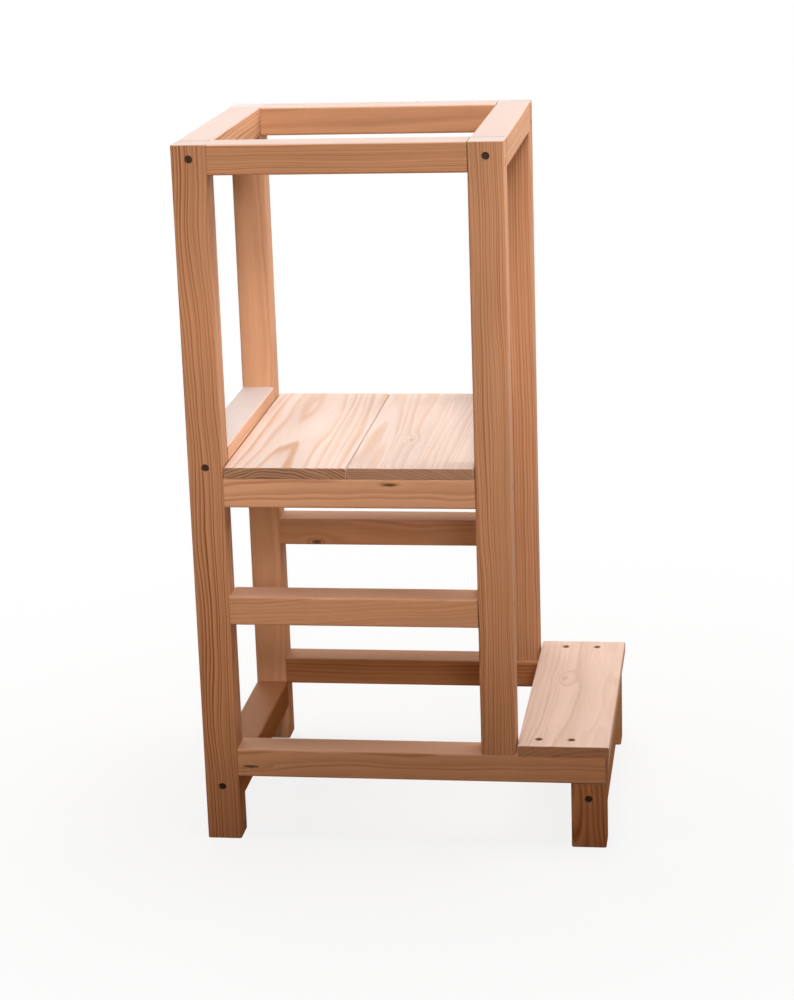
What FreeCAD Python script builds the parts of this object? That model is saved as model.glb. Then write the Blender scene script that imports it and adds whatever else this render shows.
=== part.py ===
"""Toddler kitchen helper stool: a screwed tower of planed pine laths with a platform and a low step.

Every piece is first placed with its lowest corner measured from the tower's front left foot:
X to the right (towards the step), Y to the back, Z up. The whole stool is then shifted so that
its origin lies on the floor under the middle of its box.
"""
import FreeCAD, Part
import math
import os

import Sketcher

Vector = FreeCAD.Vector

SIZES = [
    # alias, millimetres, what it is
    ("lath_width", 45, "wide side of the lath section"),
    ("lath_thick", 38, "narrow side of the lath section"),
    ("board_thick", 15, "thickness of the platform and step boards"),
    ("lath_round", 3, "radius on the long edges of the laths"),
    ("board_round", 2.5, "radius on the long edges of the boards"),
    ("end_round", 1.5, "radius around the free ends of laths and boards"),
    ("tower_width", 410, "outside of the left posts to outside of the right posts"),
    ("tower_depth", 400, "front of the front posts to back of the back posts"),
    ("tower_height", 915, "floor to the top of the handrail frame"),
    ("base_length", 525, "outside of the left posts to the end of the long base rails"),
    ("base_rail_foot", 88, "floor to the underside of the long base rails"),
    ("middle_rail_foot", 297, "floor to the underside of the middle rails"),
    ("platform_height", 507, "floor to the standing surface"),
    ("guard_rail_top", 525, "floor to the top of the rail beside the platform"),
    ("left_board_width", 156.5, "width of the left platform board"),
    ("board_side_gap", 1, "gap between a platform board and the posts"),
    ("board_joint", 0.5, "gap between the two platform boards"),
    ("step_gap", 2, "gap between the right posts and the step board"),
    ("step_end_overhang", 5, "step board past the end of the base rails"),
    ("step_overhang", 5, "step board past the front and back of the base rails"),
    ("screw_shank", 5, "screw shank diameter"),
    ("screw_head", 9.5, "screw head diameter"),
    ("head_rim", 0.4, "height of the straight rim of a screw head"),
    ("screw_point", 7, "length of a screw's tapered point"),
    ("slot_span", 5, "width across the cross slot in a screw head"),
    ("slot_width", 1.1, "width of one arm of the cross slot"),
    ("slot_depth", 1.4, "depth of the cross slot"),
    ("frame_screw", 80, "length of the screws that join the laths"),
    ("platform_screw", 45, "length of the screws up into the platform boards"),
    ("step_screw", 35, "length of the screws down through the step board"),
    ("shank_clearance", 0.1, "radial gap around a shank"),
    ("seat_clearance", 0.1, "radial gap around a seated head's cone"),
    ("head_margin", 0.5, "radial gap around the head's rim"),
    ("recess_depth", 3.5, "straight depth of a screw recess"),
    ("point_clearance", 1, "hole past a screw's point"),
    ("top_side_drop", 18, "top of the frame to the screws of the side handrails"),
    ("top_cross_drop", 29, "top of the frame to the screws of the front and back handrails"),
    ("platform_screw_rise", 22, "underside of a platform rail to its end screws"),
    ("middle_screw_rise", 26, "underside of a middle rail to its end screws"),
    ("left_low_drop", 15, "underside of the base rails to the left stretcher's screws"),
    ("right_low_drop", 21, "underside of the base rails to the right stretcher's screws"),
    ("platform_screw_inset", 50, "side of a platform board to its screws"),
    ("leg_screw_inset", 12, "end of a base rail to the screw down into the step leg"),
]

SHARES = [
    # alias, percent of the way from the step board's left side to the leg screw, what it is
    ("front_screw_left", 25.7, "first front screw in the step board"),
    ("front_screw_right", 67.3, "second front screw in the step board"),
    ("back_screw_left", 34.7, "first back screw in the step board"),
    ("back_screw_right", 78.2, "second back screw in the step board"),
]

COUNTERSINK_ANGLE = 90
SAME = 1e-6
VOLUME_TOLERANCE = 0.01

# Places and sizes that several pieces share, as expressions on the sheet.
WIDE = "Sizes.lath_width"
THICK = "Sizes.lath_thick"
BOARD = "Sizes.board_thick"
TOWER_WIDTH = "Sizes.tower_width"
TOWER_DEPTH = "Sizes.tower_depth"
TOWER_HEIGHT = "Sizes.tower_height"
BETWEEN_POSTS_X = f"({TOWER_WIDTH} - 2 * {WIDE})"
BETWEEN_POSTS_Y = f"({TOWER_DEPTH} - 2 * {THICK})"
RIGHT_POST_X = f"({TOWER_WIDTH} - {WIDE})"
LEG_X = f"(Sizes.base_length - {WIDE})"
BACK_POST_Y = f"({TOWER_DEPTH} - {THICK})"
BACK_RAIL_Y = f"({TOWER_DEPTH} - {WIDE})"
BASE_RAIL_TOP = f"(Sizes.base_rail_foot + {THICK})"
TOP_RAIL_FOOT = f"({TOWER_HEIGHT} - {THICK})"
BOARD_FOOT = f"(Sizes.platform_height - {BOARD})"
PLATFORM_RAIL_FOOT = f"({BOARD_FOOT} - {THICK})"
GUARD_RAIL_FOOT = f"(Sizes.guard_rail_top - {THICK})"
STRETCHER_FOOT = f"(Sizes.base_rail_foot - {THICK})"
LEFT_BOARD_X = f"({WIDE} + Sizes.board_side_gap)"
LEFT_BOARD_END = f"({LEFT_BOARD_X} + Sizes.left_board_width)"
RIGHT_BOARD_X = f"({LEFT_BOARD_END} + Sizes.board_joint)"
RIGHT_BOARD_END = f"({RIGHT_POST_X} - Sizes.board_side_gap)"
RIGHT_BOARD_WIDTH = f"({RIGHT_BOARD_END} - {RIGHT_BOARD_X})"
STEP_X = f"({TOWER_WIDTH} + Sizes.step_gap)"
STEP_END = "(Sizes.base_length + Sizes.step_end_overhang)"
STEP_WIDTH = f"({STEP_END} - {STEP_X})"
STEP_LENGTH = f"({TOWER_DEPTH} + 2 * Sizes.step_overhang)"
STEP_TOP = f"({BASE_RAIL_TOP} + {BOARD})"
CENTRE_X = f"({STEP_END} / 2)"
CENTRE_Y = f"({TOWER_DEPTH} / 2)"

# Screw holes: a straight recess, a cone for the head and a hole for the shank.
SHANK_HOLE = "(Sizes.screw_shank + 2 * Sizes.shank_clearance)"
RECESS = "(Sizes.screw_head + 2 * Sizes.head_margin)"
HEAD_TOP = "(Sizes.recess_depth + Sizes.head_margin - Sizes.seat_clearance - Sizes.head_rim)"


def pilot(screw, passed):
    """Depth of the blind hole for a screw that first passes through another piece."""
    return f"({HEAD_TOP} + Sizes.{screw} + Sizes.point_clearance - {passed})"


# Screw centres across the laths.
LEFT_POST_MID = f"({WIDE} / 2)"
RIGHT_POST_MID = f"({RIGHT_POST_X} + {WIDE} / 2)"
LEG_MID = f"({LEG_X} + {WIDE} / 2)"
FRONT_POST_MID = f"({THICK} / 2)"
BACK_POST_MID = f"({TOWER_DEPTH} - {THICK} / 2)"
LEG_SCREW_X = "(Sizes.base_length - Sizes.leg_screw_inset)"



def along_step(screw):
    """Place along X of one of the step board's screws."""
    return f"({STEP_X} + Sizes.{screw} / 100 * ({LEG_SCREW_X} - {STEP_X}))"


# Screw heights.
TOP_SIDE_Z = f"({TOWER_HEIGHT} - Sizes.top_side_drop)"
TOP_CROSS_Z = f"({TOWER_HEIGHT} - Sizes.top_cross_drop)"
PLATFORM_CROSS_Z = f"({PLATFORM_RAIL_FOOT} + Sizes.platform_screw_rise)"
MIDDLE_CROSS_Z = "(Sizes.middle_rail_foot + Sizes.middle_screw_rise)"
BASE_CROSS_Z = f"(Sizes.base_rail_foot + {THICK} / 2)"
GUARD_Z = f"(Sizes.guard_rail_top - {THICK} / 2)"
LEFT_LOW_Z = "(Sizes.base_rail_foot - Sizes.left_low_drop)"
RIGHT_LOW_Z = "(Sizes.base_rail_foot - Sizes.right_low_drop)"

# The stool's front and back: the name, which is also that of the outer face, and where its posts,
# its rails and its screws stand.
ENDS = [
    ("front", "0", "0", FRONT_POST_MID),
    ("back", BACK_POST_Y, BACK_RAIL_Y, BACK_POST_MID),
]
STEP_SCREWS = {
    "front": [along_step("front_screw_left"), along_step("front_screw_right")],
    "back": [along_step("back_screw_left"), along_step("back_screw_right")],
}
PLATFORM_SCREWS = {
    "left": [
        f"({LEFT_BOARD_X} + Sizes.platform_screw_inset)",
        f"({LEFT_BOARD_END} - Sizes.platform_screw_inset)",
    ],
    "right": [
        f"({RIGHT_BOARD_X} + Sizes.platform_screw_inset)",
        f"({RIGHT_BOARD_END} - Sizes.platform_screw_inset)",
    ],
}

AXES = ("x", "y", "z")
# For each axis: the origin plane square to it, and the sign of that plane's normal.
PLANES = {"x": ("YZ_Plane", 1), "y": ("XZ_Plane", -1), "z": ("XY_Plane", 1)}
# For each face: its axis, and whether it is the low or the high end of that axis.
FACES = {
    "left": ("x", "low"),
    "right": ("x", "high"),
    "front": ("y", "low"),
    "back": ("y", "high"),
    "under": ("z", "low"),
    "top": ("z", "high"),
}

doc = FreeCAD.newDocument("HelperStool")
sheet = doc.addObject("Spreadsheet::Sheet", "Sizes")
pieces = []


def fill_sheet():
    """Write each driving size, its alias and its meaning into the sheet."""
    for row, (alias, number, meaning) in enumerate(SIZES + SHARES, start=1):
        sheet.set(f"A{row}", meaning)
        sheet.set(f"B{row}", str(number))
        sheet.setAlias(f"B{row}", alias)
    doc.recompute()


def measure(expression):
    """The number that an expression on the sheet gives."""
    return float(sheet.evalExpression(expression))


def origin_plane(body, axis):
    """A body's own origin plane square to an axis."""
    role = PLANES[axis][0]
    return next(item for item in body.Origin.OriginFeatures if item.Role == role)


def attach(sketch, body, axis):
    """Lay a sketch on the origin plane square to an axis."""
    sketch.AttachmentSupport = [(origin_plane(body, axis), "")]
    sketch.MapMode = "FlatFace"


def bound_rectangle(sketch, wide, high):
    """Draw a rectangle from the sketch's origin, its two sides bound to expressions."""
    x, y = measure(wide), measure(high)
    corners = [Vector(0, 0, 0), Vector(x, 0, 0), Vector(x, y, 0), Vector(0, y, 0)]
    for start in range(4):
        sketch.addGeometry(Part.LineSegment(corners[start], corners[(start + 1) % 4]), False)
    for start in range(4):
        sketch.addConstraint(Sketcher.Constraint("Coincident", start, 2, (start + 1) % 4, 1))
    for side in (0, 2):
        sketch.addConstraint(Sketcher.Constraint("Horizontal", side))
        sketch.addConstraint(Sketcher.Constraint("Vertical", side + 1))
    sketch.addConstraint(Sketcher.Constraint("Coincident", 0, 1, -1, 1))
    across = sketch.addConstraint(Sketcher.Constraint("DistanceX", 0, 1, 0, 2, x))
    upward = sketch.addConstraint(Sketcher.Constraint("DistanceY", 1, 1, 1, 2, y))
    sketch.setExpression(f"Constraints[{across}]", wide)
    sketch.setExpression(f"Constraints[{upward}]", high)


def edges_along(shape, axis):
    """Names of the straight edges that run the whole length of a shape along an axis."""
    place = AXES.index(axis)
    names = []
    for number, edge in enumerate(shape.Edges, start=1):
        start, end = edge.Vertexes[0].Point, edge.Vertexes[-1].Point
        if abs(abs(end[place] - start[place]) - edge.Length) < SAME:
            names.append(f"Edge{number}")
    return names


def edges_at(shape, axis, height):
    """Names of the edges that lie at one height along an axis."""
    place = AXES.index(axis)
    names = []
    for number, edge in enumerate(shape.Edges, start=1):
        if all(abs(vertex.Point[place] - height) < SAME for vertex in edge.Vertexes):
            names.append(f"Edge{number}")
    return names


class Piece:
    """One sawn piece: a rounded bar along one axis, placed by its lowest corner."""

    def __init__(self, label, along, corner, size, rounding="Sizes.lath_round", free_ends=()):
        self.label = label
        self.along = along
        self.corner = dict(zip(AXES, corner))
        self.size = dict(zip(AXES, size))
        self.body = doc.addObject("PartDesign::Body", label)
        self.body.Label = label
        self.pad()
        self.ease_long_edges(rounding)
        for end in free_ends:
            self.ease_end(end)
        centre = {"x": CENTRE_X, "y": CENTRE_Y, "z": "0"}
        for axis in AXES:
            shift = f"{self.corner[axis]} - {centre[axis]}"
            self.body.setExpression(f"Placement.Base.{axis}", shift)
        pieces.append(self.body)

    def pad(self):
        """Pull the section out along the piece."""
        across = [axis for axis in AXES if axis != self.along]
        section = self.body.newObject("Sketcher::SketchObject", f"{self.label}_section")
        attach(section, self.body, self.along)
        bound_rectangle(section, self.size[across[0]], self.size[across[1]])
        bar = self.body.newObject("PartDesign::Pad", f"{self.label}_bar")
        bar.Profile = section
        bar.Reversed = PLANES[self.along][1] < 0
        bar.setExpression("Length", self.size[self.along])
        doc.recompute()

    def ease_long_edges(self, rounding):
        """Round the four long edges."""
        names = edges_along(self.body.Tip.Shape, self.along)
        self.round_edges(f"{self.label}_long_edges", names, rounding)

    def ease_end(self, end):
        """Round the edges around one free end."""
        height = 0 if end == "low" else measure(self.size[self.along])
        names = edges_at(self.body.Tip.Shape, self.along, height)
        self.round_edges(f"{self.label}_{end}_end", names, "Sizes.end_round")

    def round_edges(self, name, edges, radius):
        """Add one fillet over the named edges of the piece so far."""
        base = self.body.Tip
        fillet = self.body.newObject("PartDesign::Fillet", name)
        fillet.Base = (base, edges)
        fillet.setExpression("Radius", radius)
        doc.recompute()

    def bore(self, face, spots, blind=None):
        """Drill a face at each spot, counted from the tower's corner as the pieces are.

        A hole with no blind depth goes right through and has a recess for the screw's head.
        """
        axis, end = FACES[face]
        sign = PLANES[axis][1]
        across = [other for other in AXES if other != axis]
        before = self.body.Tip.Shape.Volume
        sketch = self.body.newObject("Sketcher::SketchObject", f"{self.label}_{face}_spots")
        attach(sketch, self.body, axis)
        if end == "high":
            turn = "" if sign > 0 else "-"
            sketch.setExpression("AttachmentOffset.Base.z", f"{turn}{self.size[axis]}")
        for spot in spots:
            local = [f"{spot[i]} - {self.corner[across[i]]}" for i in range(2)]
            at = [measure(text) for text in local]
            circle = Part.Circle(Vector(at[0], at[1], 0), Vector(0, 0, 1), measure(SHANK_HOLE) / 2)
            mark = sketch.addGeometry(circle, False)
            for i, kind in enumerate(("DistanceX", "DistanceY")):
                constraint = Sketcher.Constraint(kind, -1, 1, mark, 3, at[i])
                number = sketch.addConstraint(constraint)
                sketch.setExpression(f"Constraints[{number}]", local[i])
        doc.recompute()
        hole = self.body.newObject("PartDesign::Hole", f"{self.label}_{face}_holes")
        hole.Profile = sketch
        hole.Reversed = (end == "low") == (sign > 0)
        hole.setExpression("Diameter", SHANK_HOLE)
        if blind:
            hole.HoleCutType = "None"
            hole.DepthType = "Dimension"
            hole.DrillPoint = "Flat"
            hole.setExpression("Depth", blind)
            depth = measure(blind)
        else:
            hole.HoleCutType = "Counterdrill"
            hole.HoleCutCountersinkAngle = COUNTERSINK_ANGLE
            hole.setExpression("HoleCutDiameter", RECESS)
            hole.setExpression("HoleCutDepth", "Sizes.recess_depth")
            hole.DepthType = "ThroughAll"
            depth = measure(self.size[axis])
        doc.recompute()
        removed = before - self.body.Tip.Shape.Volume
        least = len(spots) * depth * math.pi * (measure(SHANK_HOLE) / 2) ** 2
        if removed < least * (1 - VOLUME_TOLERANCE):
            raise RuntimeError(f"{self.label}: the holes on its {face} cut only {removed:.0f} mm3")


def make_posts_and_legs():
    """Four posts, the right pair standing on the base rails, and the two short step legs."""
    right_height = f"({TOWER_HEIGHT} - {BASE_RAIL_TOP})"
    for end, post_y, _, screw_y in ENDS:
        left = Piece(
            f"{end}_left_post", "z", ("0", post_y, "0"), (WIDE, THICK, TOWER_HEIGHT),
            free_ends=("low", "high"),
        )
        left_side = [(LEFT_POST_MID, z) for z in (TOP_SIDE_Z, GUARD_Z, LEFT_LOW_Z)]
        left.bore(end, left_side)
        cross = (TOP_CROSS_Z, PLATFORM_CROSS_Z, MIDDLE_CROSS_Z)
        left.bore("left", [(screw_y, z) for z in cross + (BASE_CROSS_Z,)])

        right = Piece(
            f"{end}_right_post", "z", (RIGHT_POST_X, post_y, BASE_RAIL_TOP), (WIDE, THICK, right_height),
            free_ends=("high",),
        )
        right.bore(end, [(RIGHT_POST_MID, TOP_SIDE_Z)])
        right.bore("right", [(screw_y, z) for z in cross])
        right.bore("under", [(RIGHT_POST_MID, screw_y)], blind=pilot("frame_screw", THICK))

        leg = Piece(
            f"{end}_step_leg", "z", (LEG_X, post_y, "0"), (WIDE, THICK, "Sizes.base_rail_foot"),
            free_ends=("low",),
        )
        leg.bore(end, [(LEG_MID, RIGHT_LOW_Z)])
        leg.bore("top", [(LEG_SCREW_X, screw_y)], blind=pilot("frame_screw", THICK))


def make_cross_rails():
    """Front and back rails between the posts at three heights, and the two long base rails."""
    into_end = pilot("frame_screw", WIDE)
    for end, _, rail_y, screw_y in ENDS:
        section = (BETWEEN_POSTS_X, WIDE, THICK)
        heights = [
            ("top", TOP_RAIL_FOOT, TOP_CROSS_Z),
            ("platform", PLATFORM_RAIL_FOOT, PLATFORM_CROSS_Z),
            ("middle", "Sizes.middle_rail_foot", MIDDLE_CROSS_Z),
        ]
        for level, foot, screw_z in heights:
            rail = Piece(f"{end}_{level}_rail", "x", (WIDE, rail_y, foot), section)
            for face in ("left", "right"):
                rail.bore(face, [(screw_y, screw_z)], blind=into_end)
            if level == "platform":
                spots = [(x, f"({rail_y} + {WIDE} / 2)") for side in PLATFORM_SCREWS.values() for x in side]
                rail.bore("under", spots)

        base = Piece(
            f"{end}_base_rail", "x", (WIDE, rail_y, "Sizes.base_rail_foot"),
            (f"(Sizes.base_length - {WIDE})", WIDE, THICK), free_ends=("high",),
        )
        base.bore("left", [(screw_y, BASE_CROSS_Z)], blind=into_end)
        base.bore("under", [(RIGHT_POST_MID, screw_y)])
        base.bore("top", [(LEG_SCREW_X, screw_y)])
        step_spots = [(x, screw_y) for x in STEP_SCREWS[end]]
        base.bore("top", step_spots, blind=pilot("step_screw", BOARD))


def make_side_rails():
    """Rails from front to back: two handrails, the guard rail and two low stretchers."""
    rails = [
        ("left_top_rail", "0", TOP_RAIL_FOOT, LEFT_POST_MID, TOP_SIDE_Z),
        ("right_top_rail", RIGHT_POST_X, TOP_RAIL_FOOT, RIGHT_POST_MID, TOP_SIDE_Z),
        ("left_guard_rail", "0", GUARD_RAIL_FOOT, LEFT_POST_MID, GUARD_Z),
        ("left_low_stretcher", "0", STRETCHER_FOOT, LEFT_POST_MID, LEFT_LOW_Z),
        ("right_low_stretcher", LEG_X, STRETCHER_FOOT, LEG_MID, RIGHT_LOW_Z),
    ]
    for label, x, foot, screw_x, screw_z in rails:
        rail = Piece(label, "y", (x, THICK, foot), (WIDE, BETWEEN_POSTS_Y, THICK))
        for face in ("front", "back"):
            rail.bore(face, [(screw_x, screw_z)], blind=pilot("frame_screw", THICK))


def make_boards():
    """Two boards side by side for the platform, and one for the step."""
    boards = [
        ("left", LEFT_BOARD_X, "Sizes.left_board_width"),
        ("right", RIGHT_BOARD_X, RIGHT_BOARD_WIDTH),
    ]
    for side, x, width in boards:
        board = Piece(
            f"{side}_platform_board", "y", (x, "0", BOARD_FOOT), (width, TOWER_DEPTH, BOARD),
            rounding="Sizes.board_round", free_ends=("low", "high"),
        )
        rail_mids = (f"({WIDE} / 2)", f"({BACK_RAIL_Y} + {WIDE} / 2)")
        spots = [(screw_x, y) for screw_x in PLATFORM_SCREWS[side] for y in rail_mids]
        board.bore("under", spots, blind=pilot("platform_screw", THICK))

    step = Piece(
        "step_board", "y", (STEP_X, "-Sizes.step_overhang", BASE_RAIL_TOP),
        (STEP_WIDTH, STEP_LENGTH, BOARD),
        rounding="Sizes.board_round", free_ends=("low", "high"),
    )
    spots = [(x, screw_y) for end, _, _, screw_y in ENDS for x in STEP_SCREWS[end]]
    step.bore("top", spots)


def screw_shape(length):
    """A countersunk screw, its head's top at the origin and its point along +Z."""
    shank, head = measure("Sizes.screw_shank") / 2, measure("Sizes.screw_head") / 2
    rim, point = measure("Sizes.head_rim"), measure("Sizes.screw_point")
    span, width, deep = (measure(f"Sizes.slot_{name}") for name in ("span", "width", "depth"))
    outline = Part.makePolygon([
        Vector(0, 0, 0),
        Vector(head, 0, 0),
        Vector(head, 0, rim),
        Vector(shank, 0, rim + head - shank),
        Vector(shank, 0, length - point),
        Vector(0, 0, length),
        Vector(0, 0, 0),
    ])
    screw = Part.Face(outline).revolve(Vector(0, 0, 0), Vector(0, 0, 1), 360)
    for x_size, y_size in ((span, width), (width, span)):
        arm = Part.makeBox(x_size, y_size, deep, Vector(-x_size / 2, -y_size / 2, 0))
        screw = screw.cut(arm)
    return screw


def make_screws(label, screw, entries):
    """One group of like screws, each entering a face at a point and running along a direction."""
    shape = screw_shape(measure(f"Sizes.{screw}"))
    sunk = measure(HEAD_TOP)
    centre = Vector(measure(CENTRE_X), measure(CENTRE_Y), 0)
    placed = []
    for point, direction in entries:
        entry = Vector(*(measure(text) for text in point)) - centre
        turn = FreeCAD.Rotation(Vector(0, 0, 1), direction)
        copy = shape.copy()
        copy.Placement = FreeCAD.Placement(entry + direction * sunk, turn)
        placed.append(copy)
    group = doc.addObject("Part::Feature", label)
    group.Label = label
    group.Shape = Part.makeCompound(placed)
    group.Placement = FreeCAD.Placement()
    pieces.append(group)


def make_all_screws():
    """Screws for the side rails, the cross rails, the right posts, the legs and the boards."""
    right, left = Vector(1, 0, 0), Vector(-1, 0, 0)
    back, front = Vector(0, 1, 0), Vector(0, -1, 0)
    up, down = Vector(0, 0, 1), Vector(0, 0, -1)
    outer_faces = {"front": ("0", back), "back": (TOWER_DEPTH, front)}

    side_spots = [
        (LEFT_POST_MID, TOP_SIDE_Z), (LEFT_POST_MID, GUARD_Z), (LEFT_POST_MID, LEFT_LOW_Z),
        (RIGHT_POST_MID, TOP_SIDE_Z), (LEG_MID, RIGHT_LOW_Z),
    ]
    side = []
    for y, direction in outer_faces.values():
        side += [((x, y, z), direction) for x, z in side_spots]
    make_screws("side_rail_screws", "frame_screw", side)

    cross, feet, legs, platform, step = [], [], [], [], []
    for end, _, rail_y, screw_y in ENDS:
        levels = (TOP_CROSS_Z, PLATFORM_CROSS_Z, MIDDLE_CROSS_Z)
        cross += [(("0", screw_y, z), right) for z in levels + (BASE_CROSS_Z,)]
        cross += [((TOWER_WIDTH, screw_y, z), left) for z in levels]
        feet.append(((RIGHT_POST_MID, screw_y, "Sizes.base_rail_foot"), up))
        legs.append(((LEG_SCREW_X, screw_y, BASE_RAIL_TOP), down))
        rail_mid = f"({rail_y} + {WIDE} / 2)"
        for boards in PLATFORM_SCREWS.values():
            platform += [((x, rail_mid, PLATFORM_RAIL_FOOT), up) for x in boards]
        step += [((x, screw_y, STEP_TOP), down) for x in STEP_SCREWS[end]]
    make_screws("cross_rail_screws", "frame_screw", cross)
    make_screws("right_post_screws", "frame_screw", feet)
    make_screws("step_leg_screws", "frame_screw", legs)
    make_screws("platform_screws", "platform_screw", platform)
    make_screws("step_board_screws", "step_screw", step)


def check_document():
    """Stop on any failed object, and on any piece whose shape is missing or not valid."""
    doc.recompute()
    for item in doc.Objects:
        if "Invalid" in item.State or "Error" in item.State:
            raise RuntimeError(f"{item.Label} failed: {item.State}")
    for piece in pieces:
        if piece.Shape.isNull() or not piece.Shape.isValid() or not piece.Shape.Solids:
            raise RuntimeError(f"{piece.Label} has no valid solid")


def export_pieces():
    """Write one STEP file for each piece."""
    os.makedirs("parts", exist_ok=True)
    for piece in pieces:
        piece.Shape.exportStep(f"parts/{piece.Label}.step")
        box = piece.Shape.BoundBox
        print(f"{piece.Label}: {len(piece.Shape.Solids)} solid(s), "
              f"{box.XLength:.1f} x {box.YLength:.1f} x {box.ZLength:.1f} mm")


fill_sheet()
make_posts_and_legs()
make_cross_rails()
make_side_rails()
make_boards()
make_all_screws()
check_document()
export_pieces()
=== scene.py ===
"""Toddler kitchen helper stool: finish of the pine laths, boards and screws, and the studio."""
import math

import bpy
from mathutils import Euler, Matrix, Vector


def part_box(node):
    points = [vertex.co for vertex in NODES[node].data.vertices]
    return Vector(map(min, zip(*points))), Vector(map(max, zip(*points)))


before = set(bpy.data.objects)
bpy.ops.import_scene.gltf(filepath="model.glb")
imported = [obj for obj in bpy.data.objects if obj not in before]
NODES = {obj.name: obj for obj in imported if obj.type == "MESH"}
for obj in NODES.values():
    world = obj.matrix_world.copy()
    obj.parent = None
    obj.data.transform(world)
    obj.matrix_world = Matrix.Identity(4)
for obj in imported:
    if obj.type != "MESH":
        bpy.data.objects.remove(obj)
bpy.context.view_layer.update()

bl_info = {
    "name": "Helper Stool",
    "version": (1, 0, 0),
    "blender": (4, 5, 0),
    "location": "View3D > Sidebar > Helper Stool",
    "description": "Finishes the pine helper stool and sets up its studio",
    "category": "Object",
}


# ---------------------------------------------------------------------------------------------
# Settings of the pattern and the studio. A pair is the slope and the start of a straight line,
# but called EDGES it is where a mask begins and where it is full. Three SCALES are those of a
# noise, on the two axes across the grain and on the one along it.
# ---------------------------------------------------------------------------------------------

GRAIN_GROUP = "Pine grain"
KNOT_GROUP = "Pine knot"

# How far the tone of a piece moves its red, green and blue, and those of its painted top
# highlight; how far the tops of the posts take that painted highlight; and where a face counts as
# a top or as an end.
TONE_SHARES = (1.0, 1.6, 2.4)
TOP_TONE_SHARES = (1.0, 1.35, 1.7)
POST_TOP_HIGHLIGHT = 0.95
TOP_EDGES = (0.45, 0.95)
END_GRAIN_EDGES = (0.6, 0.95)

# Knots, in shares of their own radius, but for the wobble of their outline in metres.
KNOT_WOBBLE_SCALE = 160.0
KNOT_WOBBLE = 0.0022
KNOT_FALLOFF_BASE = 2.718
KNOT_FALLOFF_RATE = -0.16
KNOT_HEART_EDGES = (0.55, 1.15)
KNOT_RING_PACE = 9.0
KNOT_RING_EDGES = (1.0, 2.6)
KNOT_RING_DARK = 0.45
KNOT_PUSH = 2.2

# Growth rings: how they stray, in metres, and how one year's dark line differs from the next.
WARP_SCALE = 16.0
WARP_DETAIL = 2.0
STRAY = (0.011, 0.011, 0.0)
SEASON_PACE = 0.45
SEASON_SHIFT = 1.7
LATE_PROFILE = (
    (0.0, 0.10), (0.14, 0.0), (0.38, 0.20), (0.60, 0.62), (0.78, 1.0), (0.91, 0.75), (1.0, 0.10),
)
YEAR_STRENGTH = (0.65, 0.40)
PATCH_STRENGTH = (1.9, 0.05)
PATCH_SCALES = (28.0, 28.0, 3.0)

# Fibres, resin streaks and clouds.
FIBRE_SCALES = (900.0, 900.0, 14.0)
STREAK_SCALES = (1500.0, 1500.0, 60.0)
STREAK_EDGES = (0.66, 0.80)
CLOUD_SCALES = (22.0, 22.0, 4.0)
FIBRE_GAIN = (0.30, 0.85)
CLOUD_GAIN = (0.34, 0.83)
STREAK_GAIN = (-0.16, 1.0)
END_LINE_GAIN = (-0.40, 1.0)
WOOD_ROUGH = 0.56
LATE_ROUGH = -0.08
FIBRE_ROUGH = 0.10
LATE_HEIGHT = 0.6
FIBRE_HEIGHT = 0.5
STREAK_HEIGHT = -0.35
BUMP_STRENGTH = 0.35
BUMP_DISTANCE = 0.0004
WOOD_SPECULAR = 0.18

# Screws.
RUBBED_SCALE = 900.0
RUBBED_EDGES = (0.55, 0.75)
RUBBED_BRIGHTER = 3.0
SCREW_ROUGH = (-0.15, 0.50)
SCREW_METALLIC = 0.35
SCREW_SPECULAR = 0.25

# Studio.
WHITE_STUDIO = (1.0, 1.0, 1.0, 1.0)
FLOOR_SEEN = (0.90, 0.90, 0.90, 1.0)
FLOOR_BOUNCE = (0.40, 0.20, 0.06, 1.0)
FLOOR_ROUGH = 0.9
FLOOR_FADE_EDGES = (0.30, 1.30)
FLOOR_WHITE_SHARE = (0.15, 0.85)
ROOM_TINT = (1.0, 0.76, 0.46, 1.0)
CAMERA_REACH = 100.0


# ---------------------------------------------------------------------------------------------
# Sizes and colours that a user would change
# ---------------------------------------------------------------------------------------------

def color_property(name, description, default):
    """A colour in scene-linear red, green and blue."""
    return bpy.props.FloatVectorProperty(
        name=name, description=description, subtype="COLOR", size=3, min=0, max=1,
        default=default,
    )


def power_property(name, description, default):
    """The power of a lamp in watts."""
    return bpy.props.FloatProperty(
        name=name, description=description, min=0, max=500, default=default,
    )


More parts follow.
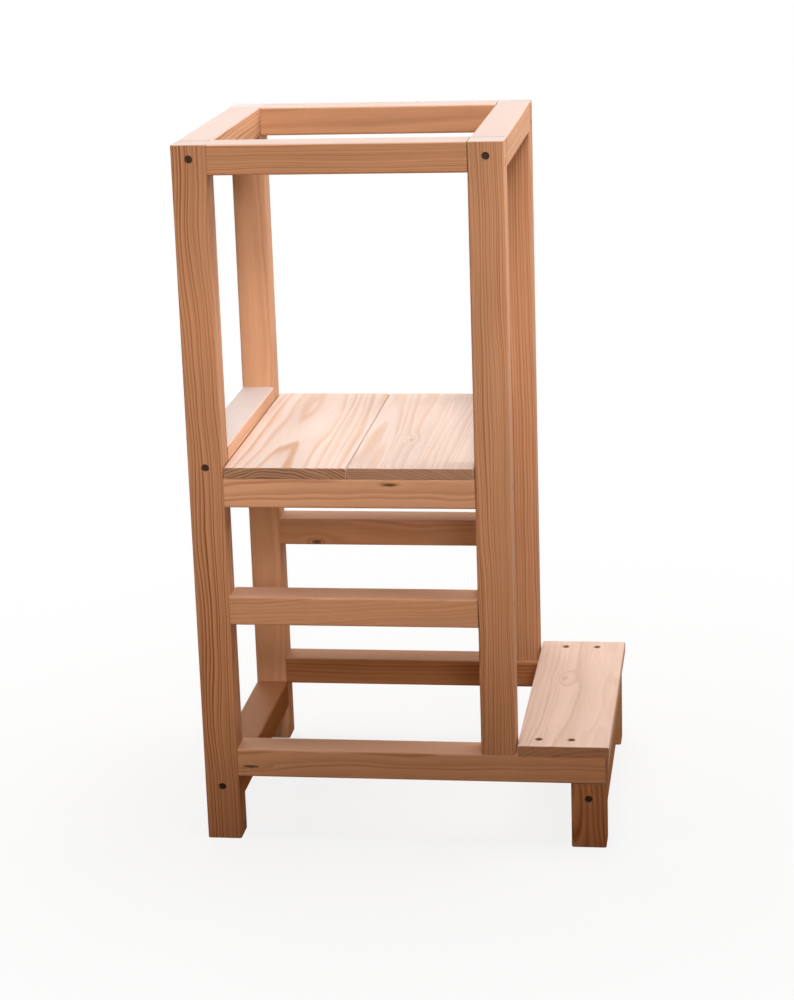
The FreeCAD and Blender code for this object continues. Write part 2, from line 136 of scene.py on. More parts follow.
class StoolFinish(bpy.types.PropertyGroup):
    """Colours and grain of the wood and the screws."""

    early_wood: color_property(
        "Early wood", "Colour of the pale part of a growth ring",
        (0.585, 0.306, 0.168),
    )
    late_wood: color_property(
        "Late wood", "Colour of the dark line that ends a growth ring",
        (0.275, 0.092, 0.026),
    )
    # Painted highlight: the boards and the step board get a paler, lit copy of the pine in place
    # of the overhead light on their tops.
    lit_board_early_wood: color_property(
        "Board early wood", "Early wood of the paler platform boards",
        (0.770, 0.625, 0.563),
    )
    lit_board_late_wood: color_property(
        "Board late wood", "Late wood of the platform boards and the step board",
        (0.620, 0.370, 0.235),
    )
    lit_step_early_wood: color_property(
        "Step early wood", "Early wood of the step board, a little rosier",
        (0.880, 0.655, 0.545),
    )
    # Painted highlight: the pale colour that faces looking up are mixed towards stands in for the
    # overhead light on them.
    top_highlight_color: color_property(
        "Pale top", "Colour that the laths fade to on the faces that look up",
        (0.506, 0.424, 0.395),
    )
    # Painted highlight: the low rails and stretchers are paler where they look up, in place of the
    # light on their tops.
    rail_top_highlight: color_property(
        "Rail top", "Colour of the low rails and stretchers where they look up",
        (0.740, 0.420, 0.262),
    )
    # Painted highlight: how far the faces that look up are mixed towards their pale highlight
    # colour.
    top_highlight_share: bpy.props.FloatProperty(
        name="Top fade", description="How far the faces of the laths that look up have faded",
        subtype="FACTOR", min=0, max=1, default=0.82,
    )
    end_tint: color_property(
        "End grain", "What the sawn ends of a piece are tinted by",
        (0.56, 0.42, 0.31),
    )
    knot_wood: color_property(
        "Knot", "Colour of the heart of a knot",
        (0.070, 0.022, 0.006),
    )
    ring_width: bpy.props.FloatProperty(
        name="Ring width", description="Distance between two growth rings",
        subtype="DISTANCE", unit="LENGTH", min=0.001, max=0.02, default=0.0048,
    )
    screw_metal: color_property(
        "Screw", "Colour of the dark bronzed screws",
        (0.050, 0.022, 0.008),
    )


class StoolStudio(bpy.types.PropertyGroup):
    """Camera, lamps and floor."""

    camera_place: bpy.props.FloatVectorProperty(
        name="Camera place", description="Where the camera stands",
        subtype="TRANSLATION", unit="LENGTH", size=3, default=(0.4435, -3.2178, 1.3338),
    )
    camera_target: bpy.props.FloatVectorProperty(
        name="Camera target", description="The point in the middle of the picture",
        subtype="TRANSLATION", unit="LENGTH", size=3, default=(-0.0278, 0.0, 0.4085),
    )
    camera_roll: bpy.props.FloatProperty(
        name="Camera roll", description="Turn of the camera about its own view",
        subtype="ANGLE", unit="ROTATION", default=math.radians(-1.9),
    )
    lens: bpy.props.FloatProperty(
        name="Lens", description="Focal length in millimetres on a 36 mm frame", min=20, max=200,
        default=90.9,
    )
    overhead_power: power_property(
        "Overhead lamp", "Power of the soft box above the stool in watts", 47.5,
    )
    window_power: power_property(
        "Window lamp", "Power of the soft box to the right and behind in watts", 3.6,
    )
    front_power: power_property(
        "Front lamps", "Power of each of the two far soft boxes in front in watts", 2.6,
    )
    rim_power: power_property(
        "Left lamp", "Power of the weak soft box on the left in watts", 6,
    )
    back_power: power_property(
        "Back lamp", "Power of the soft box behind on the left in watts", 17,
    )
    warm_light: color_property(
        "Warm light", "Tint of the front lamps and the left lamp",
        (1.0, 0.91, 0.83),
    )
    room_light: bpy.props.FloatProperty(
        name="Room light", description="Strength of the even light from all round",
        min=0, max=3, default=0.10,
    )
    floor_size: bpy.props.FloatProperty(
        name="Floor size", description="Side of the square floor",
        subtype="DISTANCE", unit="LENGTH", min=2, max=60, default=24,
    )


# ---------------------------------------------------------------------------------------------
# The pieces of the stool, each with the way its grain runs
# ---------------------------------------------------------------------------------------------

class Cut:
    """How one piece was sawn from its tree.

    along is the axis that the grain runs along; pith is how far the tree's middle lies from the
    piece's own middle, on the two axes across it; lean is how much the tree's middle slants along
    the piece, in degrees about each of these axes; shift slides the pattern along the grain; rings
    scales the width of the rings; contrast and wander are how dark the late wood is and how far
    the rings stray; tone makes the piece paler or darker; knots are its knots; stretch is how
    quickly the rings stray along the grain, as a share of how quickly they do across it.
    """

    def __init__(self, along, pith, lean, shift, rings, contrast, wander=1.0, tone=0.0,
                 knots=(), stretch=0.22):
        self.along = along
        self.pith = pith
        self.lean = lean
        self.shift = shift
        self.rings = rings
        self.contrast = contrast
        self.wander = wander
        self.tone = tone
        self.knots = knots
        self.stretch = stretch


class Knot:
    """A branch through a piece.

    place is where it lies in the piece's box, from 0 to 1 on X, Y and Z; axis is the one it runs
    along; radius is across the grain, stretch how many times longer it is along the grain, and
    dark how dark its heart is.
    """

    def __init__(self, place, axis, radius, stretch, dark):
        self.place = place
        self.axis = axis
        self.radius = radius
        self.stretch = stretch
        self.dark = dark


# Each tone is partly the wood's own tone and partly painted light and shade: the left guard rail
# and back left post are paler in place of light on their shaded faces, the left low stretcher and
# back base rail darker as painted shade.
POSTS = {
    "front_left_post": Cut("z", (0.080, 0.030), (0.3, 0.5), 0.10, 1.05, 0.80, 2.4, -0.02),
    "back_left_post": Cut("z", (0.020, 0.085), (0.3, 0.3), 0.55, 1.2, 0.28, 1.6, 0.12),
    "front_right_post": Cut("z", (0.090, 0.060), (0.4, 0.8), 0.90, 0.55, 0.75, 1.8, 0.04),
    "back_right_post": Cut("z", (0.085, 0.020), (0.3, 0.3), 0.35, 0.85, 0.75, 1.2, 0.02),
}
LEGS = {
    "front_step_leg": Cut("z", (0.022, 0.050), (2.5, 6.0), 0.60, 1.1, 0.80, 2.4, -0.11),
    "back_step_leg": Cut("z", (0.030, 0.050), (0.8, 0.4), 0.20, 1.0, 0.6),
}
HANDRAILS = {
    "front_top_rail": Cut("x", (0.030, 0.085), (0.7, 0.8), 0.15, 0.62, 0.58, 1.5, 0.0),
    "back_top_rail": Cut("x", (0.095, -0.030), (0.3, 0.8), 0.75, 1.5, 0.40, 1.2, 0.04),
    "left_top_rail": Cut("y", (0.055, 0.040), (2.6, 1.2), 0.40, 0.9, 1.1, 1.6, 0.05),
    "right_top_rail": Cut("y", (0.045, 0.060), (0.9, 1.2), 0.85, 0.8, 0.45, 1.0, 0.03),
    "left_guard_rail": Cut("y", (0.060, -0.050), (0.8, 0.9), 0.27, 0.9, 0.55, 1.4, 0.32),
}
RAILS = {
    "front_platform_rail": Cut(
        "x", (0.085, -0.030), (0.4, 1.2), 0.05, 0.9, 0.42, 1.6, 0.13,
        [Knot((0.665, 0.0, 0.83), "y", 0.0018, 4.5, 0.85)],
    ),
    "back_platform_rail": Cut("x", (0.050, 0.030), (0.4, 0.3), 0.33, 1.0, 0.50, 1.0, -0.04),
    "front_middle_rail": Cut("x", (0.080, -0.050), (0.5, 3.0), 0.62, 0.7, 0.38, 1.8, 0.09),
    "back_middle_rail": Cut(
        "x", (0.080, 0.020), (0.4, 0.9), 0.18, 1.1, 0.42, 1.5, 0.03,
        [Knot((0.165, 0.0, 0.12), "y", 0.0036, 2.0, 0.75)],
    ),
    "front_base_rail": Cut(
        "x", (0.085, -0.030), (0.4, 0.9), 0.44, 0.9, 0.48, 1.6, 0.14,
        [Knot((0.035, 0.0, 0.38), "y", 0.0020, 6.0, 0.80)],
    ),
    "back_base_rail": Cut("x", (0.070, 0.040), (0.3, 0.5), 0.81, 1.0, 0.60, 1.2, -0.20),
    "left_low_stretcher": Cut("y", (0.040, -0.090), (0.8, 0.9), 0.66, 1.2, 0.30, 1.8, -0.34),
    "right_low_stretcher": Cut("y", (-0.055, 0.030), (0.4, 0.3), 0.12, 1.0, 0.6),
}
BOARDS = {
    "left_platform_board": Cut(
        "y", (0.160, 0.012), (0.5, 0.5), 0.30, 0.80, 0.90, 2.0, 0.0, stretch=0.09,
    ),
    "right_platform_board": Cut(
        "y", (0.210, 0.060), (0.4, 0.3), 0.72, 0.60, 0.40, 1.4, 0.0,
        [Knot((0.40, 0.36, 0.9), "z", 0.0030, 2.5, 0.18)], stretch=0.10,
    ),
}
STEP = {
    "step_board": Cut(
        "y", (0.180, -0.040), (0.6, 0.4), 0.08, 0.65, 0.45, 1.6, 0.01,
        [Knot((0.36, 0.62, 0.9), "z", 0.0045, 2.2, 0.16)], stretch=0.12,
    ),
}
SCREWS = [
    "side_rail_screws", "cross_rail_screws", "right_post_screws",
    "step_leg_screws", "platform_screws", "step_board_screws",
]


def middle(node):
    """The middle of a node's box and the size of the box."""
    low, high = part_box(node)
    return (low + high) / 2, high - low


# ---------------------------------------------------------------------------------------------
# Node groups
# ---------------------------------------------------------------------------------------------

class Tree:
    """A short way to add and link shader nodes."""

    def __init__(self, tree):
        self.tree = tree

    def add(self, kind, **values):
        node = self.tree.nodes.new(kind)
        for name, value in values.items():
            setattr(node, name, value)
        return node

    def link(self, source, target):
        self.tree.links.new(source, target)

    def feed(self, socket, value):
        """Link a socket, or set it where the value is a plain one."""
        if isinstance(value, bpy.types.NodeSocket):
            self.link(value, socket)
        else:
            socket.default_value = value

    def math(self, operation, *values):
        node = self.add("ShaderNodeMath", operation=operation)
        for socket, value in zip(node.inputs, values):
            self.feed(socket, value)
        return node.outputs[0]

    def vector(self, operation, *values):
        node = self.add("ShaderNodeVectorMath", operation=operation)
        for socket, value in zip(node.inputs, values):
            self.feed(socket, value)
        return node.outputs["Value"] if operation in ("LENGTH", "DOT_PRODUCT") else node.outputs[0]

    def line(self, value, slope, start):
        """The value times a slope, plus a start."""
        return self.math("MULTIPLY_ADD", value, slope, start)

    def noise(self, vector, scale, detail=2.0, roughness=0.5):
        node = self.add("ShaderNodeTexNoise")
        self.link(vector, node.inputs["Vector"])
        node.inputs["Scale"].default_value = scale
        node.inputs["Detail"].default_value = detail
        node.inputs["Roughness"].default_value = roughness
        return node.outputs["Fac"]

    def drawn_noise(self, vector, scales, detail, roughness=0.5):
        """Noise with a scale of its own on each axis."""
        return self.noise(self.vector("MULTIPLY", vector, scales), 1.0, detail, roughness)

    def ramp(self, value, stops):
        """A smooth ramp through (place, height) stops."""
        node = self.add("ShaderNodeFloatCurve")
        curve = node.mapping.curves[0]
        curve.points[0].location = stops[0]
        curve.points[1].location = stops[-1]
        for stop in stops[1:-1]:
            curve.points.new(*stop)
        node.mapping.update()
        self.link(value, node.inputs["Value"])
        return node.outputs[0]

    def smooth(self, value, start, end):
        """0 before start and 1 after end, smooth between."""
        node = self.add("ShaderNodeMapRange", interpolation_type="SMOOTHSTEP")
        self.feed(node.inputs["Value"], value)
        self.feed(node.inputs["From Min"], start)
        self.feed(node.inputs["From Max"], end)
        return node.outputs[0]

    def mix(self, share, first, second, blend="MIX"):
        node = self.add("ShaderNodeMix", data_type="RGBA", blend_type=blend)
        self.feed(node.inputs["Factor"], share)
        self.feed(node.inputs["A"], first)
        self.feed(node.inputs["B"], second)
        return node.outputs["Result"]


def new_group(name, inputs, outputs):
    """An empty node group with named sockets, and its input and output nodes."""
    group = bpy.data.node_groups.new(name, "ShaderNodeTree")
    for label, kind, default in inputs:
        socket = group.interface.new_socket(label, in_out="INPUT", socket_type=kind)
        if default is not None:
            socket.default_value = default
    for label, kind in outputs:
        group.interface.new_socket(label, in_out="OUTPUT", socket_type=kind)
    tree = Tree(group)
    return tree, tree.add("NodeGroupInput"), tree.add("NodeGroupOutput")


def build_knot_group():
    """A knot: how far rings bend round it, and masks of its heart and its dark rim."""
    tree, given, out = new_group(
        KNOT_GROUP,
        [("Position", "NodeSocketVector", None), ("Place", "NodeSocketVector", None),
         ("Across", "NodeSocketVector", (1, 1, 1)), ("Radius", "NodeSocketFloat", 0.005)],
        [("Push", "NodeSocketFloat"), ("Heart", "NodeSocketFloat"), ("Rings", "NodeSocketFloat")],
    )
    away = tree.vector("SUBTRACT", given.outputs["Position"], given.outputs["Place"])
    flat = tree.vector("MULTIPLY", away, given.outputs["Across"])
    wobble = tree.noise(given.outputs["Position"], KNOT_WOBBLE_SCALE)
    distance = tree.math("ADD", tree.vector("LENGTH", flat), -KNOT_WOBBLE / 2)
    share = tree.math("DIVIDE", tree.line(wobble, KNOT_WOBBLE, distance), given.outputs["Radius"])
    power = tree.math("MULTIPLY", tree.math("MULTIPLY", share, share), KNOT_FALLOFF_RATE)
    falloff = tree.math("POWER", KNOT_FALLOFF_BASE, power)
    tree.link(tree.math("MULTIPLY", falloff, given.outputs["Radius"]), out.inputs["Push"])
    heart = tree.math("SUBTRACT", 1.0, tree.smooth(share, *KNOT_HEART_EDGES))
    tree.link(heart, out.inputs["Heart"])
    waves = tree.math("SINE", tree.math("MULTIPLY", share, KNOT_RING_PACE))
    near = tree.math("SUBTRACT", 1.0, tree.smooth(share, *KNOT_RING_EDGES))
    tree.link(tree.math("MULTIPLY", tree.smooth(waves, 0.0, 1.0), near), out.inputs["Rings"])


def build_grain_group():
    """Pine: growth rings round the tree's middle, which lies on the local Z axis."""
    tree, given, out = new_group(
        GRAIN_GROUP,
        [("Position", "NodeSocketVector", None), ("Ring Width", "NodeSocketFloat", 0.005),
         ("Push", "NodeSocketFloat", 0.0), ("Early Wood", "NodeSocketColor", None),
         ("Late Wood", "NodeSocketColor", None), ("Contrast", "NodeSocketFloat", 1.0),
         ("Wander", "NodeSocketFloat", 1.0), ("Stretch", "NodeSocketVector", (1, 1, 0.22)),
         ("Tone", "NodeSocketFloat", 0.0),
         ("End Grain", "NodeSocketFloat", 0.0), ("End Tint", "NodeSocketColor", None)],
        [("Color", "NodeSocketColor"), ("Roughness", "NodeSocketFloat"),
         ("Height", "NodeSocketFloat")],
    )
    place = given.outputs["Position"]

    # The rings wander slowly along the tree, each year's growth differs, and the dark lines come
    # and go in patches.
    stretched = tree.vector("MULTIPLY", place, given.outputs["Stretch"])
    warp = tree.add("ShaderNodeTexNoise")
    tree.link(stretched, warp.inputs["Vector"])
    warp.inputs["Scale"].default_value = WARP_SCALE
    warp.inputs["Detail"].default_value = WARP_DETAIL
    centred = tree.vector("SUBTRACT", warp.outputs["Color"], (0.5, 0.5, 0.5))
    wandered = tree.add("ShaderNodeVectorMath", operation="SCALE")
    tree.link(tree.vector("MULTIPLY", centred, STRAY), wandered.inputs[0])
    tree.link(given.outputs["Wander"], wandered.inputs["Scale"])
    bent = tree.vector("ADD", place, wandered.outputs[0])
    flat = tree.vector("MULTIPLY", bent, (1.0, 1.0, 0.0))
    radius = tree.math("SUBTRACT", tree.vector("LENGTH", flat), given.outputs["Push"])
    years = tree.math("DIVIDE", radius, given.outputs["Ring Width"])
    seasons = tree.add("ShaderNodeTexNoise", noise_dimensions="1D")
    tree.link(tree.math("MULTIPLY", years, SEASON_PACE), seasons.inputs["W"])
    seasons.inputs["Scale"].default_value = 1.0
    seasons.inputs["Detail"].default_value = 1.0
    uneven = tree.line(seasons.outputs["Fac"], SEASON_SHIFT, years)
    ring = tree.math("FRACT", uneven)
    year = tree.add("ShaderNodeTexWhiteNoise", noise_dimensions="1D")
    tree.link(tree.math("FLOOR", uneven), year.inputs["W"])
    late = tree.ramp(ring, LATE_PROFILE)
    strength = tree.line(year.outputs["Value"], *YEAR_STRENGTH)
    strength = tree.math("MULTIPLY", strength, given.outputs["Contrast"])
    patch = tree.drawn_noise(place, PATCH_SCALES, 1.0)
    strength = tree.math("MULTIPLY", strength, tree.line(patch, *PATCH_STRENGTH))
    end_strength = tree.math("MULTIPLY", given.outputs["End Grain"], given.outputs["Contrast"])
    strength = tree.math("MAXIMUM", strength, end_strength)
    late = tree.math("MULTIPLY", late, strength)
    end_line = tree.math("MULTIPLY", late, given.outputs["End Grain"])

    # Fine fibres and short resin streaks lie along the grain.
    fibre = tree.drawn_noise(place, FIBRE_SCALES, 3.0, 0.6)
    streak = tree.smooth(tree.drawn_noise(place, STREAK_SCALES, 1.0), *STREAK_EDGES)
    cloud = tree.drawn_noise(place, CLOUD_SCALES, 2.0)

    color = tree.mix(late, given.outputs["Early Wood"], given.outputs["Late Wood"])
    gain = tree.line(fibre, *FIBRE_GAIN)
    for mark, mark_gain in (
        (cloud, CLOUD_GAIN), (streak, STREAK_GAIN), (end_line, END_LINE_GAIN),
    ):
        gain = tree.math("MULTIPLY", gain, tree.line(mark, *mark_gain))
    # A darker piece of pine is also redder, and a paler one whiter; where a piece's tone is
    # painted shade, this redder colour is painted shade too.
    scaled = tree.add("ShaderNodeCombineXYZ")
    for socket, share in zip(scaled.inputs, TONE_SHARES):
        toned = tree.line(given.outputs["Tone"], share, 1.0)
        tree.link(tree.math("MULTIPLY", gain, toned), socket)
    color = tree.mix(1.0, color, scaled.outputs[0], "MULTIPLY")
    color = tree.mix(given.outputs["End Grain"], color, given.outputs["End Tint"], "MULTIPLY")
    tree.link(color, out.inputs["Color"])

    rough = tree.line(fibre, FIBRE_ROUGH, tree.line(late, LATE_ROUGH, WOOD_ROUGH))
    tree.link(rough, out.inputs["Roughness"])
    height = tree.line(fibre, FIBRE_HEIGHT, tree.math("MULTIPLY", late, LATE_HEIGHT))
    tree.link(tree.line(streak, STREAK_HEIGHT, height), out.inputs["Height"])


def group_node(tree, name, **values):
    """A node group placed in a material, with its own values."""
    node = tree.add("ShaderNodeGroup")
    node.node_tree = bpy.data.node_groups[name]
    for label, value in values.items():
        tree.feed(node.inputs[label.replace("_", " ").title()], value)
    return node


# ---------------------------------------------------------------------------------------------
# Materials
# ---------------------------------------------------------------------------------------------

AXIS_VECTORS = {"x": (1, 0, 0), "y": (0, 1, 0), "z": (0, 0, 1)}
ACROSS = {"x": (0, 1, 1), "y": (1, 0, 1), "z": (1, 1, 0)}
# The turn that lays each axis along the pattern's own Z, and its two axes across along X and Y.
TURNS = {
    "x": Matrix(((0, 1, 0), (0, 0, 1), (1, 0, 0))),
    "y": Matrix(((0, 0, 1), (1, 0, 0), (0, 1, 0))),
    "z": Matrix.Identity(3),
}
TREE_LENGTH = 4.0


def pine_material(node, cut, early, late, top, top_highlight_share):
    """The pine of one piece: its own cut through the tree, its knots and the painted highlight on
    its top.
    """
    material = bpy.data.materials.new(f"pine_{node}")
    material.use_nodes = True
    tree = Tree(material.node_tree)
    shader = material.node_tree.nodes["Principled BSDF"]
    coordinates = tree.add("ShaderNodeTexCoord")
    position = coordinates.outputs["Object"]

    centre, size = middle(node)
    lean = Euler((math.radians(cut.lean[0]), math.radians(cut.lean[1]), 0)).to_matrix()
    turn = lean @ TURNS[cut.along]
    offset = Vector((cut.pith[0], cut.pith[1], cut.shift * TREE_LENGTH))
    mapping = tree.add("ShaderNodeMapping", vector_type="POINT")
    mapping.inputs["Rotation"].default_value = turn.to_euler()
    mapping.inputs["Location"].default_value = offset - turn @ centre
    tree.link(position, mapping.inputs["Vector"])

    facing = tree.vector("DOT_PRODUCT", coordinates.outputs["Normal"], AXIS_VECTORS[cut.along])
    end_grain = tree.smooth(tree.math("ABSOLUTE", facing), *END_GRAIN_EDGES)

    finish = bpy.context.scene.stool_finish
    push, low, knots = 0.0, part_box(node)[0], []
    for knot in cut.knots:
        at = Vector(low[i] + knot.place[i] * size[i] for i in range(3))
        across = Vector(ACROSS[knot.axis])
        across["xyz".index(cut.along)] = 1 / knot.stretch
        branch = group_node(
            tree, KNOT_GROUP, position=position, place=at, across=across, radius=knot.radius,
        )
        push = tree.line(branch.outputs["Push"], KNOT_PUSH, push)
        knots.append((knot, branch))

    grain = group_node(
        tree, GRAIN_GROUP, position=mapping.outputs[0], ring_width=finish.ring_width * cut.rings,
        push=push, early_wood=(*early, 1), late_wood=(*late, 1), contrast=cut.contrast,
        wander=cut.wander, stretch=(1, 1, cut.stretch), tone=cut.tone,
        end_grain=end_grain, end_tint=(*finish.end_tint, 1),
    )
    color = grain.outputs["Color"]
    for knot, branch in knots:
        dark_rings = tree.math("MULTIPLY", branch.outputs["Rings"], KNOT_RING_DARK * knot.dark)
        color = tree.mix(dark_rings, color, (*late, 1))
        heart = tree.math("MULTIPLY", branch.outputs["Heart"], knot.dark)
        color = tree.mix(heart, color, (*finish.knot_wood, 1))
    # Painted highlight: faces that look up are mixed towards a pale colour in place of the
    # overhead light.
    if top_highlight_share:
        upward = tree.vector("DOT_PRODUCT", coordinates.outputs["Normal"], AXIS_VECTORS["z"])
        top_lit_share = tree.math("MULTIPLY", tree.smooth(upward, *TOP_EDGES), top_highlight_share)
        pale = [value * (1 + cut.tone * share) for value, share in zip(top, TOP_TONE_SHARES)]
        color = tree.mix(top_lit_share, color, (*pale, 1))
    tree.link(color, shader.inputs["Base Color"])
    tree.link(grain.outputs["Roughness"], shader.inputs["Roughness"])
    bump = tree.add("ShaderNodeBump")
    bump.inputs["Strength"].default_value = BUMP_STRENGTH
    bump.inputs["Distance"].default_value = BUMP_DISTANCE
    tree.link(grain.outputs["Height"], bump.inputs["Height"])
    tree.link(bump.outputs[0], shader.inputs["Normal"])
    shader.inputs["Specular IOR Level"].default_value = WOOD_SPECULAR
    return material


def screw_material(color):
    """Dark bronzed steel with a little rubbed metal."""
    material = bpy.data.materials.new("bronzed_screw")
    material.use_nodes = True
    tree = Tree(material.node_tree)
    shader = material.node_tree.nodes["Principled BSDF"]
    position = tree.add("ShaderNodeTexCoord").outputs["Object"]
    rubbed = tree.smooth(tree.noise(position, RUBBED_SCALE, 2.0, 0.6), *RUBBED_EDGES)
    worn = tuple(min(1.0, channel * RUBBED_BRIGHTER) for channel in color)
    tree.link(tree.mix(rubbed, (*color, 1), (*worn, 1)), shader.inputs["Base Color"])
    tree.link(tree.line(rubbed, *SCREW_ROUGH), shader.inputs["Roughness"])
    shader.inputs["Metallic"].default_value = SCREW_METALLIC
    shader.inputs["Specular IOR Level"].default_value = SCREW_SPECULAR
    return material


def dress(node, material):
    """Give a CAD piece its one material."""
    slots = NODES[node].data.materials
    slots.clear()
    slots.append(material)


def dress_pine(cuts, early, late, top=None, top_highlight_share=0.0):
    """Give each piece in a family its own cut of pine, and paint a highlight on the faces that
    look up.
    """
    for node, cut in cuts.items():
        dress(node, pine_material(node, cut, early, late, top, top_highlight_share))


# ---------------------------------------------------------------------------------------------
# Operators
# ---------------------------------------------------------------------------------------------

class STOOL_OT_grain(bpy.types.Operator):
    """Build the shared node groups of the pine and its knots"""

    bl_idname = "stool.grain"
    bl_label = "Pine Grain"
    bl_options = {"REGISTER", "UNDO"}

    def execute(self, context):
        build_grain_group()
        build_knot_group()
        return {"FINISHED"}


class STOOL_OT_posts(bpy.types.Operator):
    """Finish the four posts and the two step legs"""

    bl_idname = "stool.posts"
    bl_label = "Posts and Legs"
    bl_options = {"REGISTER", "UNDO"}

    def execute(self, context):
        finish = context.scene.stool_finish
        dress_pine(POSTS | LEGS, finish.early_wood, finish.late_wood, finish.top_highlight_color,
                   POST_TOP_HIGHLIGHT)
        return {"FINISHED"}


class STOOL_OT_handrails(bpy.types.Operator):
    """Finish the four handrails at the top and the guard rail beside the platform"""

    bl_idname = "stool.handrails"
    bl_label = "Handrails"
    bl_options = {"REGISTER", "UNDO"}

    def execute(self, context):
        finish = context.scene.stool_finish
        dress_pine(HANDRAILS, finish.early_wood, finish.late_wood, finish.top_highlight_color,
                   finish.top_highlight_share)
        return {"FINISHED"}


class STOOL_OT_rails(bpy.types.Operator):
    """Finish the rails under the platform, the middle and base rails and the stretchers"""

    bl_idname = "stool.rails"
    bl_label = "Rails"
    bl_options = {"REGISTER", "UNDO"}

    def execute(self, context):
        finish = context.scene.stool_finish
        dress_pine(RAILS, finish.early_wood, finish.late_wood, finish.rail_top_highlight, finish.top_highlight_share)
        return {"FINISHED"}


class STOOL_OT_boards(bpy.types.Operator):
    """Finish the platform boards and the step board"""

    bl_idname = "stool.boards"
    bl_label = "Boards"
    bl_options = {"REGISTER", "UNDO"}

    def execute(self, context):
        finish = context.scene.stool_finish
        dress_pine(BOARDS, finish.lit_board_early_wood, finish.lit_board_late_wood)
        dress_pine(STEP, finish.lit_step_early_wood, finish.lit_board_late_wood)
        return {"FINISHED"}


class STOOL_OT_screws(bpy.types.Operator):
    """Finish the screws"""

    bl_idname = "stool.screws"
    bl_label = "Screws"
    bl_options = {"REGISTER", "UNDO"}

    def execute(self, context):
        material = screw_material(context.scene.stool_finish.screw_metal)
        for node in SCREWS:
            dress(node, material)
        return {"FINISHED"}


class STOOL_OT_stage(bpy.types.Operator):
    """Set up the floor, the room light, the lamps and the camera"""

    bl_idname = "stool.stage"
    bl_label = "Studio"
    bl_options = {"REGISTER", "UNDO"}

    def execute(self, context):
        scene = context.scene
        studio = scene.stool_studio
        warm = tuple(studio.warm_light)
        make_floor(studio.floor_size)
        make_room(scene, studio.room_light)
        add_softbox("overhead_softbox", (0.15, 0.20, 2.60), (0, 0, 0.3), (1.6, 1.6),
                    studio.overhead_power, (1, 1, 1))
        add_softbox("window_softbox", (2.30, 0.50, 1.30), (0, 0, 0.99), (1.4, 0.9),
                    studio.window_power, (1, 0.96, 0.93), spread=36)
        for name, height in (("front_high_softbox", 2.35), ("front_low_softbox", 1.60)):
            add_softbox(name, (0.65, -3.25, height), (0.07, 0, 0.675), (2.4, 1.0),
                        studio.front_power, warm, spread=17)
        add_softbox("left_softbox", (-1.90, -0.60, 1.50), (0, 0, 0.6), (1.4, 1.4),
                    studio.rim_power, warm)
        add_softbox("back_softbox", (-1.40, 2.70, 0.95), (0, 0, 0.55), (1.4, 1.0),
                    studio.back_power, (1, 0.95, 0.89))
        make_camera(scene, studio)
        scene.view_settings.view_transform = "Standard"
        return {"FINISHED"}


def make_floor(size):
    """A white floor that keeps the stool's shadow, and fades into the white room."""
    bpy.ops.mesh.primitive_plane_add(size=size, location=(0, 0, 0))
    floor = bpy.context.object
    floor.name = "studio_floor"
    material = bpy.data.materials.new("studio_floor")
    material.use_nodes = True
    tree = Tree(material.node_tree)
    shader = material.node_tree.nodes["Principled BSDF"]
    out = material.node_tree.nodes["Material Output"]
    rays = tree.add("ShaderNodeLightPath")
    camera, glossy = rays.outputs["Is Camera Ray"], rays.outputs["Is Glossy Ray"]
    seen = tree.mix(camera, FLOOR_BOUNCE, FLOOR_SEEN)
    tree.link(seen, shader.inputs["Base Color"])
    shader.inputs["Roughness"].default_value = FLOOR_ROUGH
    shader.inputs["Specular IOR Level"].default_value = 0.0
    position = tree.add("ShaderNodeTexCoord").outputs["Object"]
    away = tree.smooth(tree.vector("LENGTH", position), *FLOOR_FADE_EDGES)
    share = tree.math("MULTIPLY", tree.line(away, *FLOOR_WHITE_SHARE), camera)
    share = tree.line(away, glossy, share)
    white = tree.add("ShaderNodeEmission")
    white.inputs["Color"].default_value = WHITE_STUDIO
    fade = tree.add("ShaderNodeMixShader")
    tree.link(share, fade.inputs[0])
    tree.link(shader.outputs[0], fade.inputs[1])
    tree.link(white.outputs[0], fade.inputs[2])
    tree.link(fade.outputs[0], out.inputs["Surface"])
    floor.data.materials.append(material)


def make_room(scene, strength):
    """Even room light, and plain white for what the camera or a glossy surface sees of it."""
    world = bpy.data.worlds.new("studio_room")
    world.use_nodes = True
    scene.world = world
    tree = Tree(world.node_tree)
    world.node_tree.nodes.clear()
    light = tree.add("ShaderNodeBackground")
    light.inputs["Color"].default_value = ROOM_TINT
    light.inputs["Strength"].default_value = strength
    backdrop = tree.add("ShaderNodeBackground")
    backdrop.inputs["Color"].default_value = WHITE_STUDIO
    rays = tree.add("ShaderNodeLightPath")
    seen = tree.math("MAXIMUM", rays.outputs["Is Camera Ray"], rays.outputs["Is Glossy Ray"])
    seen = tree.math("MAXIMUM", seen, rays.outputs["Is Transmission Ray"])
    choose = tree.add("ShaderNodeMixShader")
    tree.link(seen, choose.inputs[0])
    tree.link(light.outputs[0], choose.inputs[1])
    tree.link(backdrop.outputs[0], choose.inputs[2])
    out = tree.add("ShaderNodeOutputWorld")
    tree.link(choose.outputs[0], out.inputs["Surface"])


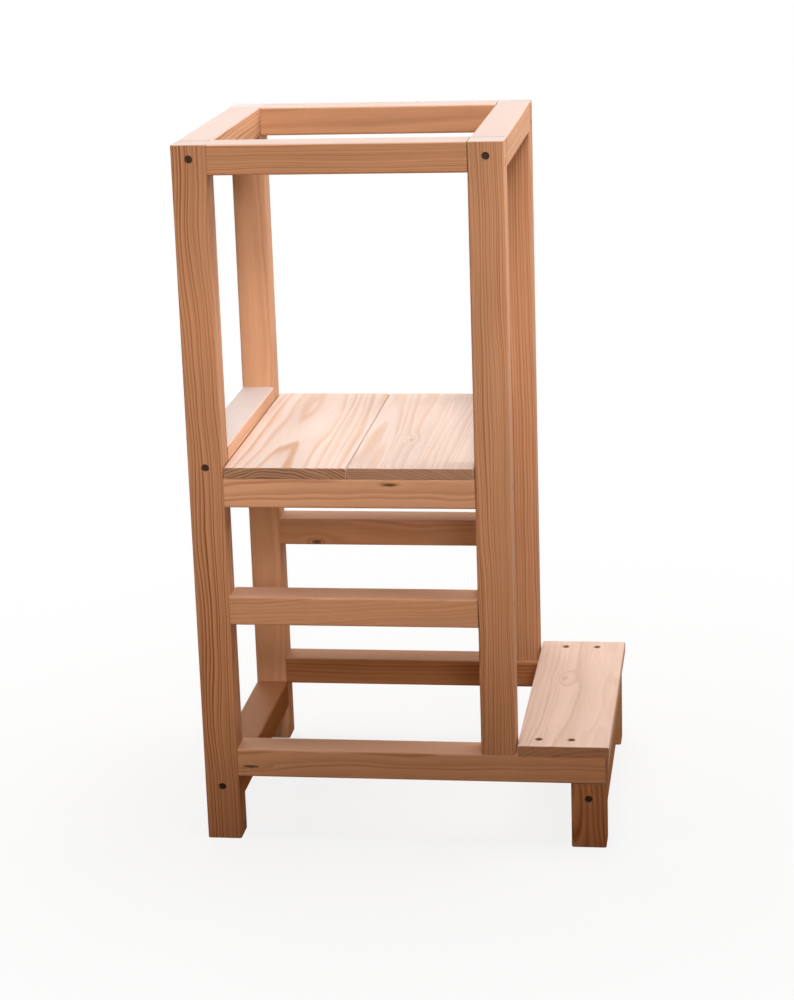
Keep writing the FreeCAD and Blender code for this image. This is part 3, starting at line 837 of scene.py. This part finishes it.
def add_softbox(name, place, target, size, power, color, spread=180):
    """A rectangular soft lamp that looks at a target; its spread is in degrees."""
    lamp = bpy.data.lights.new(name, "AREA")
    lamp.shape = "RECTANGLE"
    lamp.size, lamp.size_y = size
    lamp.energy = power
    lamp.color = color
    lamp.spread = math.radians(spread)
    box = bpy.data.objects.new(name, lamp)
    box.location = place
    box.rotation_euler = (Vector(target) - Vector(place)).to_track_quat("-Z", "Y").to_euler()
    box.visible_camera = False
    bpy.context.scene.collection.objects.link(box)


def make_camera(scene, studio):
    """The camera at the photograph's place and lens."""
    data = bpy.data.cameras.new("photo_camera")
    data.lens = studio.lens
    data.clip_end = CAMERA_REACH
    camera = bpy.data.objects.new("photo_camera", data)
    place, target = Vector(studio.camera_place), Vector(studio.camera_target)
    level = (target - place).to_track_quat("-Z", "Y").to_matrix()
    roll = Matrix.Rotation(studio.camera_roll, 3, "Z")
    camera.matrix_world = Matrix.Translation(place) @ (level @ roll).to_4x4()
    scene.collection.objects.link(camera)
    scene.camera = camera


class STOOL_PT_panel(bpy.types.Panel):
    """The steps that finish the stool, and their sizes and colours"""

    bl_idname = "STOOL_PT_panel"
    bl_label = "Helper Stool"
    bl_space_type = "VIEW_3D"
    bl_region_type = "UI"
    bl_category = "Helper Stool"

    def draw(self, context):
        layout = self.layout
        for group in (context.scene.stool_finish, context.scene.stool_studio):
            box = layout.box()
            for name in group.bl_rna.properties.keys():
                if name not in ("rna_type", "name"):
                    box.prop(group, name)
        for step in STEPS:
            layout.operator(step.bl_idname)


STEPS = (
    STOOL_OT_grain, STOOL_OT_posts, STOOL_OT_handrails, STOOL_OT_rails, STOOL_OT_boards,
    STOOL_OT_screws, STOOL_OT_stage,
)
CLASSES = (StoolFinish, StoolStudio, *STEPS, STOOL_PT_panel)


def register():
    for cls in CLASSES:
        bpy.utils.register_class(cls)
    bpy.types.Scene.stool_finish = bpy.props.PointerProperty(type=StoolFinish)
    bpy.types.Scene.stool_studio = bpy.props.PointerProperty(type=StoolStudio)


def unregister():
    del bpy.types.Scene.stool_studio
    del bpy.types.Scene.stool_finish
    for cls in reversed(CLASSES):
        bpy.utils.unregister_class(cls)


def main():
    register()
    for step in STEPS:
        name = step.bl_idname.split(".")[1]
        getattr(bpy.ops.stool, name)()


if __name__ == "__main__":
    main()
